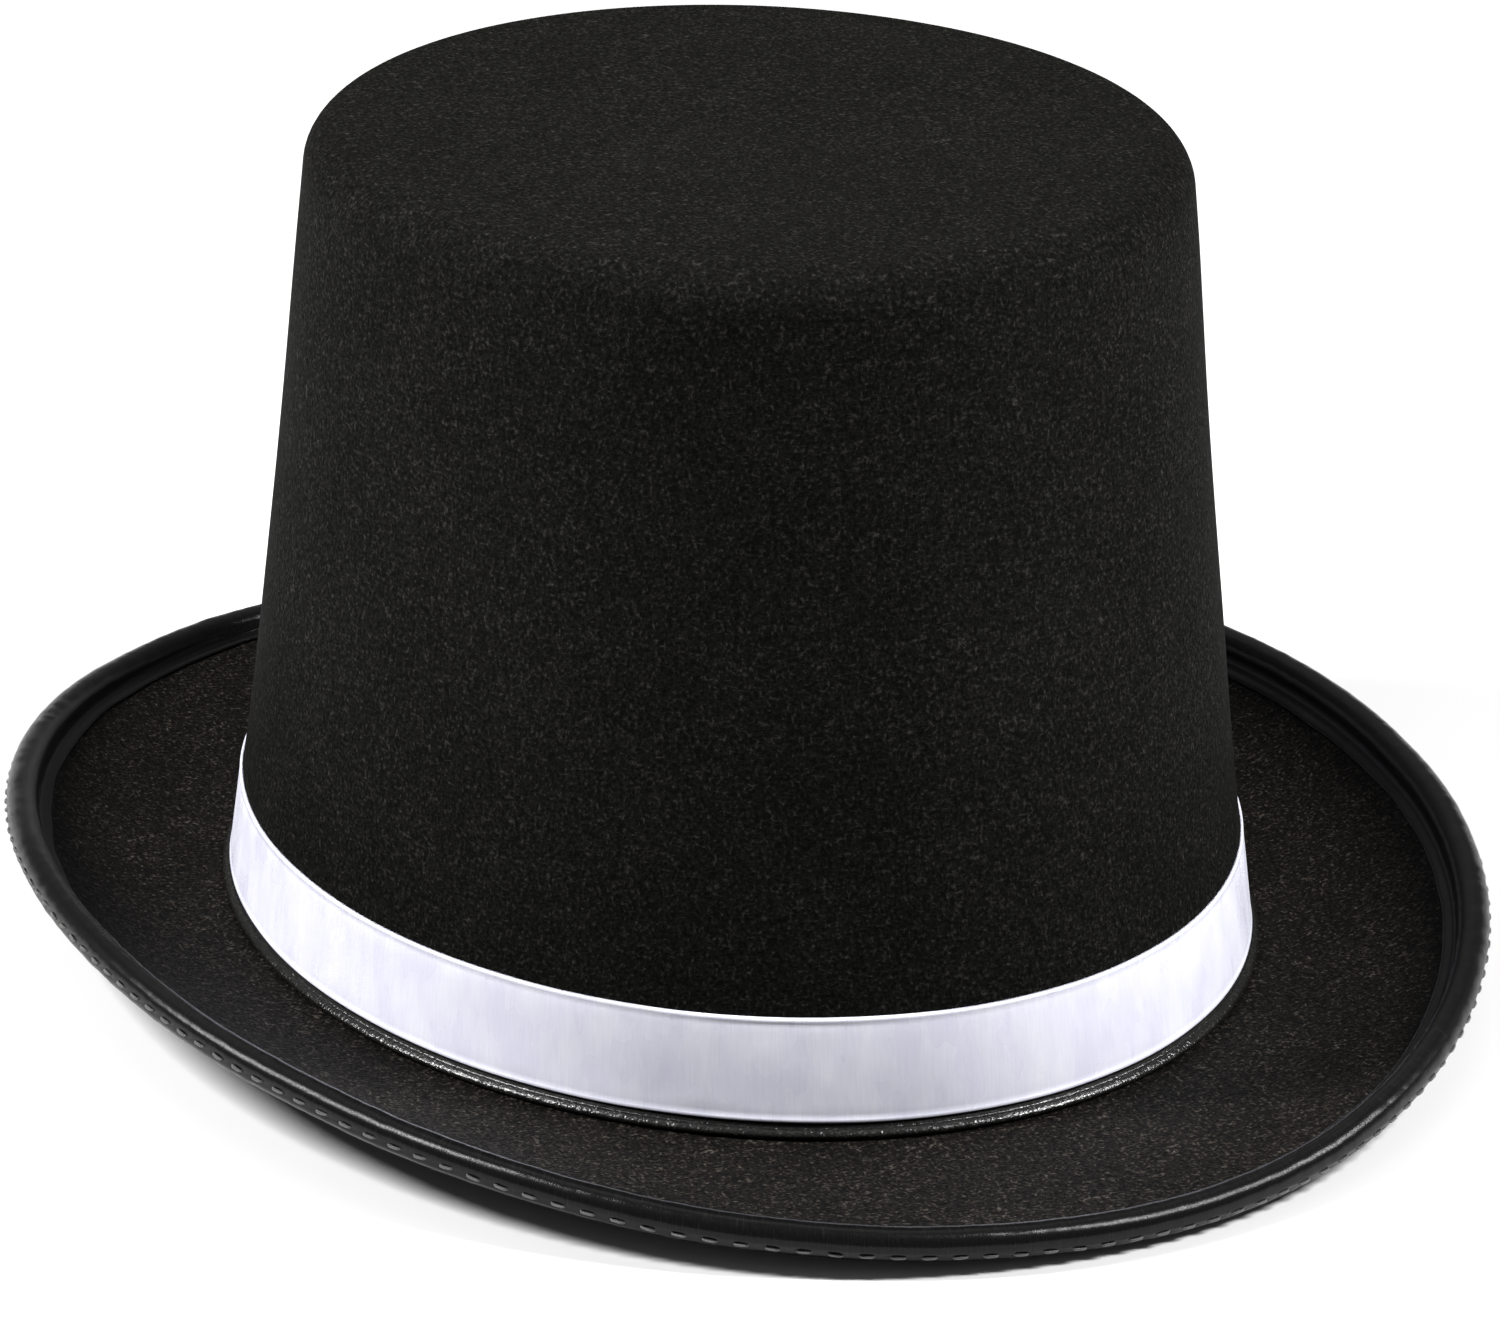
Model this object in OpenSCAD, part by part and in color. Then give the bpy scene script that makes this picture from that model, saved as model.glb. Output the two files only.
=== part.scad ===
// Felt top hat: a blocked crown on a dished oval brim with a wired, bound edge, a satin hatband,
// a sweatband round the head opening and a loose care label at the back.
// Z = 0 is the underside of the brim round the head opening. The front of the hat faces -Y.

/* [Crown] */
// Half of the crown's outer width at its foot
crown_half_width = 90; // [82:0.5:100]
// Depth of the crown's foot as a multiple of its width
crown_oval = 1.19; // [1.14:0.01:1.24]
// Half of the crown's outer width at the tip
tip_half_width = 76.5; // [72:0.5:84]
// Depth of the tip as a multiple of its width
tip_oval = 1.055; // [1.02:0.005:1.12]
// Height of the crown above the brim
crown_height = 144; // [90:0.5:170]
// How far the crown's wall draws in at half height
crown_waist = 0.2; // [0:0.05:0.3]
// Radius of the crown's upper edge
tip_edge_radius = 7; // [4:0.5:12]
// Thickness of the felt
felt = 1.8; // [1.6:0.1:2]
// How far the lip at the crown's foot stands out
lip_out = 1.6; // [1:0.1:2.4]
// Height of the lip at the crown's foot
lip_height = 1.8; // [1.4:0.1:2.6]

/* [Brim] */
// Half of the brim's width, to the turn of its felt edge
brim_half_width = 127.5; // [118:0.5:140]
// Half of the brim's depth, to the turn of its felt edge
brim_half_depth = 153.5; // [146:0.5:165]
// Height of the brim's edge at the sides, above its underside
side_rise = 14.8; // [8:0.1:20]
// Height of the brim's edge at the front and the back
end_rise = 2.4; // [1.8:0.1:8]
// Shape of the brim's dish, 1 being a straight slope
dish = 2; // [1.6:0.1:2.6]
// Share of the brim next to the crown that lies flat
flat_share = 0.1; // [0.05:0.01:0.15]
// Height of the felt collar that turns up inside the crown
collar_height = 12; // [8:0.5:16]

/* [Edge] */
// Outer radius of the felt where it turns over the wire
turn_radius = 2.45; // [2.3:0.05:2.7]
// Thickness of the binding tape
tape = 0.4; // [0.3:0.05:0.6]
// Width of flat tape on the brim, inboard of the turned edge
tape_flat = 5.5; // [4:0.5:8]
// Diameter of the brim wire
wire_d = 1.4; // [1:0.1:1.5]
// Spacing of the stitches along the binding
binding_pitch = 5; // [4:0.5:8]

/* [Hatband] */
// Width of the ribbon
band_width = 17.7; // [12:0.1:40]
// Height of the ribbon's lower edge above the brim
band_lift = 2.7; // [2.2:0.1:6]
// Thickness of the ribbon
band_t = 0.4; // [0.3:0.05:0.6]

/* [Inside] */
// Width of the sweatband
sweat_width = 28; // [20:1:40]
// Thickness of the sweatband
sweat_t = 0.8; // [0.6:0.1:1]
// Spacing of the stitches along the sweatband
sweat_pitch = 7; // [5:0.5:12]
// Width of the care label
label_w = 28; // [20:1:30]
// Length that the care label hangs
label_h = 22; // [14:1:24]

/* [Hidden] */

around = 72;                      // stations round the hat
step = 360 / around;
back = 90;                        // direction of the hat's back
gap = 0.05;                       // clearance between sewn layers
full_turn = 360;

crown_half_depth = crown_half_width * crown_oval;
tip_half_depth = tip_half_width * tip_oval;
crown_foot = felt + gap;
crown_top = crown_foot + crown_height;

collar_inset = felt + gap;        // the collar's outer face, inward of the crown's outer face
sweat_inset = 2 * felt + 2 * gap; // the sweatband's outer face, measured the same way
foot_half_width = crown_half_width - collar_inset;
foot_half_depth = crown_half_depth - collar_inset;
corner = 1.2;                     // rounding of the brim under the head opening

wire_channel = 1.15;              // radius of the space that the turned edge leaves for the wire
turn_lift = turn_radius - felt / 2;
turn_end = 150;                   // direction of the turned felt's cut edge
turn_steps = 8;                   // facets of the turned edge, the same in the felt and the tape
throat = sqrt(pow(wire_channel, 2) - pow(turn_radius - felt, 2));
tape_step = 3.1;                  // where the tape climbs from the brim onto the turned edge

joiner_wall = 0.2;
joiner_play = 0.1;
wire_end_gap = 0.15;              // degrees between each wire end and the middle of its joiner

band_low = felt + band_lift;      // height of the hatband's lower edge
band_lap = 2 * step;              // degrees over which the hatband's ends overlap

thread_r = 0.2;
stitch_length = 2.8;
binding_stitch_angle = -34;       // where the stitches cross the turned edge, from straight out
sweat_seam = 4.5;                 // height of the sweatband's stitches
sweat_base = 1;                   // height of the sweatband's lower edge

label_t = 0.5;
label_play = 0.35;                // clearance between the label and what it hangs from
label_top = sweat_base + sweat_width - 3;
label_count = 6;                  // stitches along the label's top edge
facet_play = 0.2;                 // clearance for the flats between two stations

// The label's flap hangs from a straight seam, so its middle stands off the curved sweatband
label_inset = sweat_inset + sweat_t + facet_play;
label_y = wall_half_depth(label_top) - label_inset - sag(label_inset, label_top, label_w / 2)
    - label_play - label_t / 2;

// Share of the crown's height at z
function level(z) = max(0, min(1, (z - crown_foot) / crown_height));

// Progress from the foot's outline to the tip's outline
function lean(t) = t + crown_waist * t * (1 - t);

function wall_half_width(z) = crown_half_width
    + (tip_half_width - crown_half_width) * lean(level(z));

function wall_half_depth(z) = crown_half_depth
    + (tip_half_depth - crown_half_depth) * lean(level(z));

// Point at direction a on the oval that lies inset inside the crown's outer face
function wall_point(inset, z, a) = [
    (wall_half_width(z) - inset) * cos(a),
    (wall_half_depth(z) - inset) * sin(a),
    z
];

// How far the oval falls back from its rear point at half_w to either side
function sag(inset, z, half_w) = (wall_half_depth(z) - inset)
    * (1 - sqrt(1 - pow(half_w / (wall_half_width(z) - inset), 2)));

function wall_loop(inset, z) = [for (i = [0:around - 1]) wall_point(inset, z, i * step)];

// Direction that spaces marks evenly round an oval with the given half axes
function even_angle(a, half_w, half_d) =
    a - 90 / PI * (half_d - half_w) / (half_d + half_w) * sin(2 * a);

function oval_length(half_w, half_d) = 2 * PI * sqrt((pow(half_w, 2) + pow(half_d, 2)) / 2);

// Number of stitches round an oval, the same in each quarter
function stitch_count(half_w, half_d, pitch) = 4 * round(oval_length(half_w, half_d) / pitch / 4);

// The brim's middle surface runs from the foot, at share 0, to the turn of its edge, at share 1
function foot_xy(a) = [foot_half_width * cos(a), foot_half_depth * sin(a)];

function span(a) = [brim_half_width * cos(a), brim_half_depth * sin(a)] - foot_xy(a);

function rise(a) = (side_rise + end_rise) / 2 + (side_rise - end_rise) / 2 * cos(2 * a) - felt / 2;

function dish_share(s) = max(0, (s - flat_share) / (1 - flat_share));

function brim_tilt(s, a) =
    atan(rise(a) * dish * pow(dish_share(s), dish - 1) / (1 - flat_share) / norm(span(a)));

// Point at share s of the brim, moved along its slope and up from its middle surface
function brim_at(s, along, up, a) =
    let (
        tilt = brim_tilt(s, a),
        out = along * cos(tilt) - up * sin(tilt),
        xy = foot_xy(a) + span(a) * (s + out / norm(span(a)))
    )
    [xy[0], xy[1], felt / 2 + rise(a) * pow(dish_share(s), dish) + along * sin(tilt) + up * cos(tilt)];

// A profile entry is [share, distance back from there, along, up]
function brim_loop(p) = [
    for (i = [0:around - 1])
        let (a = i * step)
        brim_at(p[0] - p[1] / norm(span(a)), p[2], p[3], a)
];

// Arc about the wire's centre, as profile entries
function turn_arc(radius, from, to, steps) = [
    for (i = [0:steps])
        let (d = from + (to - from) * i / steps)
        [1, 0, radius * cos(d), turn_lift + radius * sin(d)]
];

// Round section about the wire's centre at direction a
function wire_section(radius, a) = [
    for (d = [0:45:315]) brim_at(1, radius * cos(d), turn_lift + radius * sin(d), a)
];

function blend(p, q) = [for (i = [0:len(p) - 1]) (p[i] + q[i]) / 2];

// Solid through a list of loops. The last loop meets the first when closed, and is capped when not
module loft(loops, closed = false) {
    n = len(loops);
    m = len(loops[0]);
    last = closed ? n - 1 : n - 2;
    sides = [
        for (i = [0:last], j = [0:m - 1])
            let (
                a = i * m + j,
                b = i * m + (j + 1) % m,
                c = ((i + 1) % n) * m + (j + 1) % m,
                d = ((i + 1) % n) * m + j
            )
            each [[a, b, c], [a, c, d]]
    ];
    caps = closed ? [] : [[for (j = [m - 1:-1:0]) j], [for (j = [0:m - 1]) (n - 1) * m + j]];
    polyhedron([for (loop = loops) each loop], concat(sides, caps), convexity = 8);
}

// One laid stitch, lying along the direction and height of a unit vector
module stitch(middle, direction) {
    turn = atan2(direction[1], direction[0]);
    climb = asin(direction[2] / norm(direction));
    translate(middle)
        rotate([0, 90 - climb, turn])
            cylinder(h = stitch_length, r = thread_r, center = true, $fn = 24);
}

module crown() {
    inner_radius = tip_edge_radius - felt;
    edge_z = crown_top - tip_edge_radius;
    shares = [0.25, 0.5, 0.75];
    levels = [for (share = shares) crown_foot + (edge_z - crown_foot) * share];
    outer_edge = [
        for (d = [90:-22.5:0])
            wall_loop(tip_edge_radius * (1 - cos(d)), edge_z + tip_edge_radius * sin(d))
    ];
    outer_wall = [
        for (z = [levels[2], levels[1], levels[0], band_low + band_width, band_low]) wall_loop(0, z)
    ];
    lip = [
        for (d = [90:-45:-90])
            wall_loop(-lip_out * cos(d), crown_foot + lip_height * (1 + sin(d)) / 2)
    ];
    inner_wall = [for (z = concat([crown_foot, sweat_base + sweat_width], levels)) wall_loop(felt, z)];
    inner_edge = [
        for (d = [0:30:90])
            wall_loop(felt + inner_radius * (1 - cos(d)), edge_z + inner_radius * sin(d))
    ];
    color("#1c1c1e")
        loft(concat(outer_edge, outer_wall, lip, inner_wall, inner_edge));
}

module brim() {
    half = felt / 2;
    shares = [0.1, 0.3, 0.5, 0.7, 0.84];
    inner_face = 2 * felt + gap;
    collar = [
        wall_loop(inner_face, felt + collar_height),
        wall_loop(collar_inset, felt + collar_height),
        wall_loop(collar_inset, felt)
    ];
    top = [
        for (s = shares) [s, 0, 0, half],
        [1, tape_flat, 0, half],
        [1, tape_step, 0, half],
        [1, throat, 0, half]
    ];
    under = [
        [1, tape_flat, 0, -half],
        for (i = [len(shares) - 1:-1:0]) [shares[i], 0, 0, -half],
        [0, 0, 0, -half]
    ];
    profile = concat(
        top,
        turn_arc(wire_channel, -120, turn_end, 6),
        turn_arc(turn_radius, turn_end, -90, turn_steps),
        under
    );
    opening = [
        wall_loop(inner_face - corner, 0),
        wall_loop(inner_face - corner * (1 - cos(45)), corner * (1 - sin(45))),
        wall_loop(inner_face, corner)
    ];
    color("#222223")
        loft(concat(collar, [for (p = profile) brim_loop(p)], opening), closed = true);
}

module hatband() {
    // The upper end climbs over the lower one in the last step before they overlap
    function climb(a) = a > full_turn - 2 * step ? 3 * gap + band_t : gap;
    function section(a) = [
        wall_point(-climb(a) - band_t, band_low, a + back),
        wall_point(-climb(a) - band_t, band_low + band_width, a + back),
        wall_point(-climb(a), band_low + band_width, a + back),
        wall_point(-climb(a), band_low, a + back)
    ];
    color("#f4f4fb")
        loft([for (a = [0:step:full_turn + band_lap]) section(a)]);
}

module brim_binding() {
    half = felt / 2 + gap;
    inner = turn_radius + gap;
    outer = inner + tape;
    inner_arc = turn_arc(inner, -90, turn_end, turn_steps);
    outer_arc = turn_arc(outer, turn_end, -90, turn_steps);
    profile = concat(
        [[1, tape_flat, 0, half + tape], [1, tape_step + tape / 2, 0, half + tape]],
        outer_arc,
        [[1, tape_flat, 0, -half - tape], [1, tape_flat, 0, -half]],
        inner_arc,
        [[1, tape_step, 0, half], [1, tape_flat, 0, half]]
    );
    color("#2a2a2c")
        loft([for (p = profile) brim_loop(p)], closed = true);
}

module brim_wire() {
    stations = concat(
        [back + wire_end_gap],
        [for (i = [1:around - 1]) back + i * step],
        [back + full_turn - wire_end_gap]
    );
    color("#9a9ca0")
        loft([for (a = stations) wire_section(wire_d / 2, a)]);
}

module wire_joiner() {
    inner = wire_d / 2 + joiner_play;
    outer = inner + joiner_wall;
    function sleeve(r) = [
        blend(wire_section(r, back - step), wire_section(r, back)),
        wire_section(r, back),
        blend(wire_section(r, back), wire_section(r, back + step))
    ];
    bore = sleeve(inner);
    color("#b4b6ba")
        loft(concat(sleeve(outer), [bore[2], bore[1], bore[0]]), closed = true);
}

module sweatband() {
    top = sweat_base + sweat_width;
    collar_top = felt + collar_height;
    outer = [for (z = [top, collar_top, sweat_base]) wall_loop(sweat_inset, z)];
    inner = [for (z = [sweat_base, collar_top, top]) wall_loop(sweat_inset + sweat_t, z)];
    color("#3a3230")
        loft(concat(inner, outer), closed = true);
}

module care_label() {
    clear = thread_r + label_play;
    color("#e9e9ea")
        translate([-label_w / 2, label_y - label_t / 2, label_top - clear - label_h])
            cube([label_w, label_t, label_h]);
}

module binding_stitches() {
    reach = turn_radius + gap + tape + thread_r;
    half_w = brim_half_width;
    half_d = brim_half_depth;
    count = stitch_count(half_w, half_d, binding_pitch);
    function seam(turn) =
        let (a = even_angle(turn, half_w, half_d))
        brim_at(
            1,
            reach * cos(binding_stitch_angle),
            turn_lift + reach * sin(binding_stitch_angle),
            a
        );
    color("#6a6a6c")
        for (i = [0:count - 1]) {
            turn = full_turn * i / count;
            stitch(seam(turn), seam(turn + 0.2) - seam(turn - 0.2));
        }
}

module hatband_stitches() {
    count = 4;
    a = back + full_turn + band_lap - 1.5;
    out = 3 * gap + 2 * band_t + thread_r;
    pitch = band_width / count;
    color("#dcdce4")
        for (i = [0:count - 1]) {
            z = band_low + pitch * (i + 0.5);
            stitch(wall_point(-out, z, a), wall_point(-out, z + 0.2, a) - wall_point(-out, z - 0.2, a));
        }
}

module sweatband_stitches() {
    inset = sweat_inset + sweat_t + facet_play + thread_r;
    half_w = crown_half_width - inset;
    half_d = crown_half_depth - inset;
    count = stitch_count(half_w, half_d, sweat_pitch);
    function seam(turn) = wall_point(inset, sweat_seam, even_angle(turn, half_w, half_d));
    color("#55504c")
        for (i = [0:count - 1]) {
            turn = full_turn * i / count;
            stitch(seam(turn), seam(turn + 0.2) - seam(turn - 0.2));
        }
}

module label_stitches() {
    pitch = label_w / label_count;
    color("#d8d8da")
        for (i = [0:label_count - 1])
            stitch([pitch * (i + 0.5) - label_w / 2, label_y, label_top], [1, 0, 0]);
}

crown();
brim();
hatband();
brim_binding();
brim_wire();
wire_joiner();
sweatband();
care_label();
binding_stitches();
hatband_stitches();
sweatband_stitches();
label_stitches();
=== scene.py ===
"""Looks of the felt top hat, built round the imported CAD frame. All lengths are in metres."""
import math

import bpy
import numpy as np
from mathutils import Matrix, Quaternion, Vector, noise


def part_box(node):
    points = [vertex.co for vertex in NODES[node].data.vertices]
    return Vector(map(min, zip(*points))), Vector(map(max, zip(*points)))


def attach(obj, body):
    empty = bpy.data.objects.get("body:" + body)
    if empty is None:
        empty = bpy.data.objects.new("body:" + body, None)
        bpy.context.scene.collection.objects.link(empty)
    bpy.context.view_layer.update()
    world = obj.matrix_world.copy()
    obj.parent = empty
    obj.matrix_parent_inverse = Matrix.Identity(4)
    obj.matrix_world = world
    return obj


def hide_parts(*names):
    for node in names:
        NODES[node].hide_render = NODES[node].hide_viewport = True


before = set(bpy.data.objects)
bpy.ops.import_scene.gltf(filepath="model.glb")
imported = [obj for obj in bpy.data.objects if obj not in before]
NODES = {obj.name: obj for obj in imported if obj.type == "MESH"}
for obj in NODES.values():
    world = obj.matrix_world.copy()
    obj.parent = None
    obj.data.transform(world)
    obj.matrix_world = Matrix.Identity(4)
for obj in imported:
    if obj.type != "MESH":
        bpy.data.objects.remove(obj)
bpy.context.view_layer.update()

# ---------------------------------------------------------------- sizes that the CAD model is built with
FELT = 0.0018
SEAM_GAP = 0.00005
TIP_EDGE = 0.007
LIP_OUT = 0.0016
LIP_HEIGHT = 0.0018
WAIST = 0.2
CORNER = 0.0012
FLAT_SHARE = 0.1
DISH = 2.0
TURN_RADIUS = 0.00245
WIRE_CHANNEL = 0.00115
TURN_END = 150.0
TAPE = 0.0004
TAPE_FLAT = 0.0055
TAPE_STEP = 0.0031
BAND_T = 0.0004
SWEAT_T = 0.0008
STITCH_LENGTH = 0.0028
THREAD_R = 0.0002
WIRE_R = 0.0007
BINDING_PITCH = 0.005
SWEAT_PITCH = 0.007
BINDING_STITCH_ANGLE = -34.0
BACK = math.pi / 2
TURN_LIFT = TURN_RADIUS - FELT / 2

# ---------------------------------------------------------------- numbers that only this script uses
HAIR = 0.00001
SIDE_WINDOW = 0.004
END_WINDOW = 0.006
OUTER_START = 158.0
OUTER_ROWS = 63
LIP_FADE = (0.0036, 0.0042)
# Radians to either side of a stitch, to find the way the edge runs there
STITCH_TURN = 0.004
SEED_SHIFT = (7.3, 3.1, 5.7)
# Times a point, this drops its height
FLATTEN = np.array([1, 1, 0])


# ---------------------------------------------------------------- outlines read from the frame
def reach(node, low, high):
    """Half width and half depth of a CAD node between two heights."""
    points = [v.co for v in NODES[node].data.vertices if low <= v.co.z <= high]
    return max(p.x for p in points), max(p.y for p in points)


crown_low, crown_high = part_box("crown")
FOOT_W = crown_high.x - LIP_OUT
FOOT_D = crown_high.y - LIP_OUT
FOOT_Z = crown_low.z
TOP_Z = crown_high.z
TIP_W, TIP_D = (size + TIP_EDGE for size in reach("crown", TOP_Z - HAIR, TOP_Z + HAIR))
band_low, band_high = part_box("hatband")
sweat_low, sweat_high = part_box("sweatband")
side_points = [v.co for v in NODES["brim"].data.vertices if abs(v.co.y) < HAIR]
collar_top = max(p.z for p in side_points if p.x < FOOT_W)
COLLAR_INSET = FELT + SEAM_GAP
SWEAT_INSET = 2 * FELT + 2 * SEAM_GAP


def edge_heights():
    """Heights of the wire that lies in the brim's edge, at the sides and at the ends."""
    wire = [v.co for v in NODES["brim_wire"].data.vertices]
    side = [p.z for p in wire if abs(p.y) < SIDE_WINDOW and p.x > 0]
    end = [p.z for p in wire if abs(p.x) < END_WINDOW and p.y < 0]
    return (max(side) + min(side)) / 2, (max(end) + min(end)) / 2


def felt_turn(half, foot, wire_z):
    """Half size and height of the felt's middle where its edge turns, from those of the wire."""
    reach_out, height = half, wire_z
    # The slope depends on the answer, so a few passes settle it
    passes = 8
    for _ in range(passes):
        slope = math.atan((height - FELT / 2) * DISH / (1 - FLAT_SHARE) / (reach_out - foot))
        reach_out = half + TURN_LIFT * math.sin(slope)
        height = wire_z - TURN_LIFT * math.cos(slope)
    return reach_out, height


wire_low, wire_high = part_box("brim_wire")
side_z, end_z = edge_heights()
BRIM_W, SIDE_RISE = felt_turn(wire_high.x - WIRE_R, FOOT_W - COLLAR_INSET, side_z)
BRIM_D, END_RISE = felt_turn(-wire_low.y - WIRE_R, FOOT_D - COLLAR_INSET, end_z)


# ---------------------------------------------------------------- surfaces by direction and profile
def level(z):
    """How far up the crown's wall z is, 0 to 1, with the bend of its waist."""
    t = np.clip((z - FOOT_Z) / (TOP_Z - FOOT_Z), 0, 1)
    return t + WAIST * t * (1 - t)


def half_width(z):
    """Half width of the crown's outer face at height z."""
    return FOOT_W + (TIP_W - FOOT_W) * level(z)


def half_depth(z):
    """Half depth of the crown's outer face at height z."""
    return FOOT_D + (TIP_D - FOOT_D) * level(z)


def wall_at(inset, z, a):
    """Points inset inside the crown's outer face, at heights z and directions a."""
    x = (half_width(z) - inset) * np.cos(a)
    y = (half_depth(z) - inset) * np.sin(a)
    return np.stack([x, y, z + 0 * x], -1)


def brim_at(share, back, along, up, a):
    """Points on the brim: share of the way out, moved back, then along the slope and up from its middle."""
    foot = np.stack([(FOOT_W - COLLAR_INSET) * np.cos(a), (FOOT_D - COLLAR_INSET) * np.sin(a)], -1)
    span = np.stack([BRIM_W * np.cos(a), BRIM_D * np.sin(a)], -1) - foot
    length = np.linalg.norm(span, axis=-1)
    share = share - back / length
    rise = (SIDE_RISE + END_RISE) / 2 + (SIDE_RISE - END_RISE) / 2 * np.cos(2 * a) - FELT / 2
    dished = np.maximum(0, (share - FLAT_SHARE) / (1 - FLAT_SHARE))
    tilt = np.arctan(rise * DISH * dished ** (DISH - 1) / (1 - FLAT_SHARE) / length)
    out = share + (along * np.cos(tilt) - up * np.sin(tilt)) / length
    xy = foot + span * out[..., None]
    z = FELT / 2 + rise * dished**DISH + along * np.sin(tilt) + up * np.cos(tilt)
    return np.concatenate([xy, z[..., None]], -1)


def noise_at(points, size, seed):
    """Smooth noise, about -1 to 1, with features of that size."""
    shift = Vector([seed * s for s in SEED_SHIFT])
    flat = points.reshape(-1, 3) / size
    values = [noise.noise(Vector(p) + shift) for p in flat]
    return np.array(values).reshape(points.shape[:-1])


def ease(x, low, high):
    """A smooth step from 0 at low to 1 at high. It falls where low is the larger."""
    t = np.clip((x - low) / (high - low), 0, 1)
    return t * t * (3 - 2 * t)


def settle(points):
    """The small unevenness of blocked felt, which every layer on it follows."""
    x, y, z = points[..., 0], points[..., 1], points[..., 2]
    plan = np.sqrt((x / BRIM_W) ** 2 + (y / BRIM_D) ** 2)
    least_radius = 0.001
    radius = np.maximum(np.hypot(x, y), least_radius)
    flat = points * FLATTEN
    on_wall = ease(z, FOOT_Z + 0.002, FOOT_Z + 0.03) * (1 - ease(z, TOP_Z - 0.02, TOP_Z))
    wall = 0.00035 * noise_at(points, size=0.045, seed=1) * on_wall
    on_tip = ease(z, TOP_Z - 0.012, TOP_Z - 0.002) * (1 - ease(plan, 0.45, 0.6))
    tip = on_tip * (0.0003 + 0.00025 * noise_at(flat, size=0.05, seed=2))
    on_brim = ease(plan, 0.75, 1.0) * (1 - ease(z, 0.025, 0.03))
    wave = 0.0007 * noise_at(flat, size=0.07, seed=3)
    ripple = 0.00025 * noise_at(flat, size=0.025, seed=4)
    brim = on_brim * (wave + ripple)
    moved = points.copy()
    moved[..., 0] += wall * x / radius
    moved[..., 1] += wall * y / radius
    moved[..., 2] += tip + brim
    return moved


# ---------------------------------------------------------------- mesh making
def lengths_along(points):
    """Distance of each point from the first, measured along the line."""
    steps = np.linalg.norm(np.diff(points, axis=0), axis=1)
    return np.concatenate([[0], np.cumsum(steps)])


def mesh_piece(name, vertices, faces, corners):
    """A smooth mesh with a UV at each corner of each face."""
    mesh = bpy.data.meshes.new(name)
    mesh.from_pydata(vertices, [], faces)
    mesh.uv_layers.new(name="UVMap").data.foreach_set("uv", np.array(corners, np.float32).ravel())
    mesh.polygons.foreach_set("use_smooth", [True] * len(mesh.polygons))
    mesh.validate()
    piece = bpy.data.objects.new(name, mesh)
    bpy.context.scene.collection.objects.link(piece)
    return piece


def quad(i, j, rows, cols):
    """Vertex numbers of a grid's face at row i and column j. Past the last row or column comes the first."""
    below, beside = (i + 1) % rows, (j + 1) % cols
    return (i * cols + j, below * cols + j, below * cols + beside, i * cols + beside)


def grid_piece(name, points, closed=False, ring=True, fans=False):
    """A mesh through points[row][column], with UVs that run along the columns and along the rows.

    closed joins the last row to the first, ring joins the columns, and fans fill the first and last row.
    """
    rows, cols = points.shape[:2]
    track = points[:, 0]
    around = points[rows // 2]
    if closed:
        track = np.vstack([track, track[:1]])
    if ring:
        around = np.vstack([around, around[:1]])
    v = lengths_along(track)
    u = lengths_along(around)
    vertices = points.reshape(-1, 3).tolist()
    faces = []
    corners = []
    for i in range(rows if closed else rows - 1):
        for j in range(cols if ring else cols - 1):
            faces.append(quad(i, j, rows, cols))
            corners += [(u[j], v[i]), (u[j], v[i + 1]), (u[j + 1], v[i + 1]), (u[j + 1], v[i])]
    if fans:
        for row, turn in ((0, 1), (rows - 1, -1)):
            middle = len(vertices)
            vertices.append(points[row].mean(0).tolist())
            for j in range(cols):
                pair = (j, (j + 1) % cols)[::turn]
                faces.append((middle, row * cols + pair[0], row * cols + pair[1]))
                corners += [(u[j], v[row])] * 3
    return mesh_piece(name, vertices, faces, corners)


def directions(count):
    """Angles spread evenly round the hat."""
    return np.arange(count) * 2 * math.pi / count


def finish_piece(piece, body, slot, material, *nodes):
    """Gives a piece its material and its body, and hides the CAD nodes it stands for. The slot argument is
    not used.
    """
    piece.data.materials.append(material)
    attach(piece, body)
    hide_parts(*nodes)
    return piece


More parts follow.
